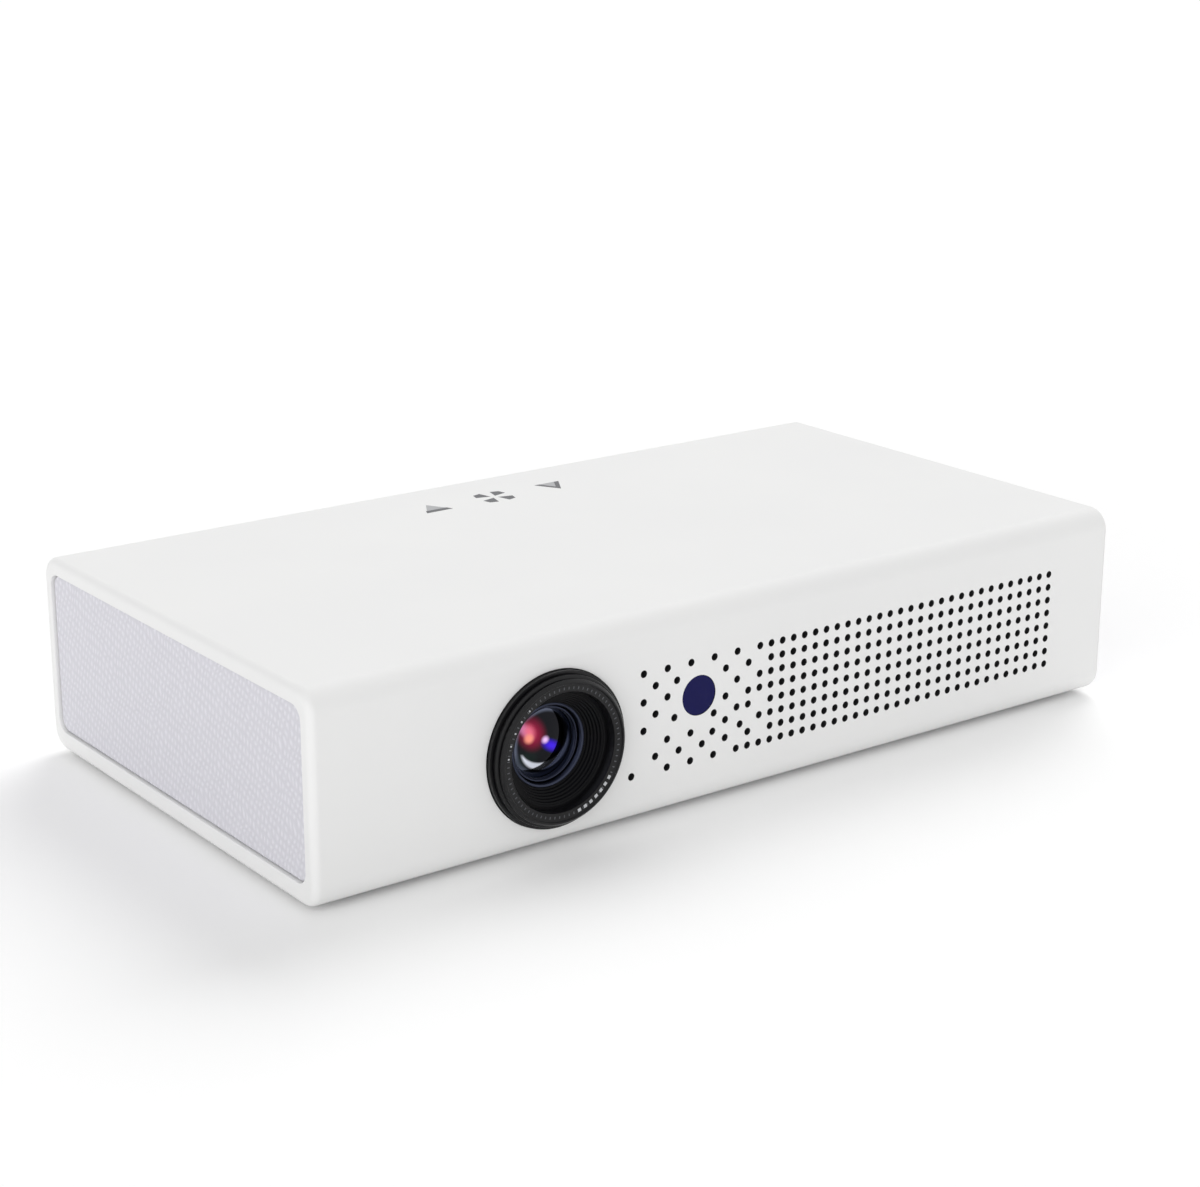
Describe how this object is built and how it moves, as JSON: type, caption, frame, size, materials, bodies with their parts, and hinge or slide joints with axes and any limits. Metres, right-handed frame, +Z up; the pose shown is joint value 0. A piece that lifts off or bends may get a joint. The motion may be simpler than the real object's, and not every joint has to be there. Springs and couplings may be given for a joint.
{
  "type": "projector with built in dvd player",
  "caption": "Long low home projector with a focusing lens, vented front, speaker mesh ends and a slim disc tray at the back that opens, with its hub, pickup and fan inside.",
  "frame": {"origin": "under the middle of the whole object, on the table the feet stand on", "axes": "+X right along the front seen from the lens side, +Y towards the back, +Z up"},
  "size_m": [0.2784, 0.1514, 0.059],
  "materials": {
    "white_plastic": "fine satin",
    "grille_mesh": "perforated, matt",
    "black_plastic": "satin",
    "black_metal": "satin anodised",
    "window": "gloss",
    "glass": "coated",
    "rubber": "matt",
    "steel": "zinc plated",
    "brass": "turned",
    "copper": "nickel-free copper",
    "aluminium": "cast",
    "board": "solder mask",
    "grey_plastic": "satin",
    "cone": "paper cone"
  },
  "bodies": {
    "chassis": {"upper_housing": "white_plastic", "bottom_cover": "white_plastic", "rubber_feet": "rubber", "cover_screws": "steel", "drive_screws": "steel", "tripod_insert": "brass", "speaker_grille_left": "grille_mesh", "speaker_grille_right": "grille_mesh", "speaker_box_left": "black_plastic", "speaker_box_right": "black_plastic", "speaker_cone_left": "cone", "speaker_cone_right": "cone", "sensor_window": "window", "sensor_board": "board", "touch_key_board": "board", "lens_barrel": "black_metal", "engine_housing": "aluminium", "imaging_board": "board", "chip_heat_sink": "aluminium", "light_source_plates": "copper", "heat_pipes": "copper", "fin_stack": "aluminium", "fan_frame": "black_plastic", "main_board": "board", "hdmi_socket": "steel", "usb_sockets": "steel", "audio_jack": "black_plastic", "power_socket": "black_plastic", "power_switch": "black_plastic", "power_board": "board", "drive_pan": "steel", "drive_cover": "steel", "drive_adapter_board": "board", "rail_guides": "grey_plastic"},
    "tray": {"disc_tray": "black_plastic", "tray_bezel": "white_plastic", "traverse_plate": "steel", "spindle_motor": "steel", "guide_rods": "steel", "sled_motor": "steel"},
    "rails": {"tray_rails": "steel"},
    "eject": {"eject_button": "white_plastic"},
    "hub": {"turntable_hub": "grey_plastic"},
    "screw": {"lead_screw": "steel"},
    "sled": {"pickup_sled": "aluminium", "objective_lens": "glass"},
    "focus": {"focus_ring": "black_metal"},
    "cell": {"lens_cell": "black_plastic", "front_glass": "glass", "rear_glass": "glass"},
    "fan": {"fan_rotor": "black_plastic"},
    "power_key": {"power_button": "grey_plastic"}
  },
  "joints": [
    {"name": "tray_slide", "type": "slide", "parent": "chassis", "child": "tray", "axis": [0, 1, 0], "range_m": [0, 0.1264]},
    {"name": "rail_slide", "type": "slide", "parent": "chassis", "child": "rails", "axis": [0, 1, 0], "range_m": [0, 0.0633]},
    {"name": "eject_press", "type": "slide", "parent": "tray", "child": "eject", "axis": [0, -1, 0], "range_m": [0, 0.0007], "stiffness_N_per_m": 400},
    {"name": "hub_spin", "type": "hinge", "parent": "tray", "child": "hub", "pos_m": [0.0568, 0.01035, 0.0136], "axis": [0, 0, 1], "continuous": true},
    {"name": "screw_turn", "type": "hinge", "parent": "tray", "child": "screw", "pos_m": [0.04386, 0.02329, 0.0101], "axis": [0.7071, 0.7071, 0], "range_deg": [0, 4081]},
    {"name": "sled_slide", "type": "slide", "parent": "tray", "child": "sled", "axis": [0.7071, 0.7071, 0], "range_m": [0, 0.034]},
    {"name": "focus_turn", "type": "hinge", "parent": "chassis", "child": "focus", "pos_m": [-0.0666, -0.0713, 0.0288], "axis": [0, 1, 0], "range_deg": [-40, 40]},
    {"name": "cell_slide", "type": "slide", "parent": "chassis", "child": "cell", "axis": [0, 1, 0], "range_m": [-0.00161, 0.00161]},
    {"name": "fan_spin", "type": "hinge", "parent": "chassis", "child": "fan", "pos_m": [0.0342, -0.064, 0.0292], "axis": [0, 1, 0], "continuous": true},
    {"name": "power_press", "type": "slide", "parent": "chassis", "child": "power_key", "axis": [0, -1, 0], "range_m": [0, 0.001], "stiffness_N_per_m": 400}
  ],
  "couplings": [
    {"joint": "rail_slide", "follows": "tray_slide", "ratio": 0.5},
    {"joint": "screw_turn", "follows": "sled_slide", "rad_per_m": 2094.4},
    {"joint": "cell_slide", "follows": "focus_turn", "m_per_rad": 0.0022918}
  ]
}
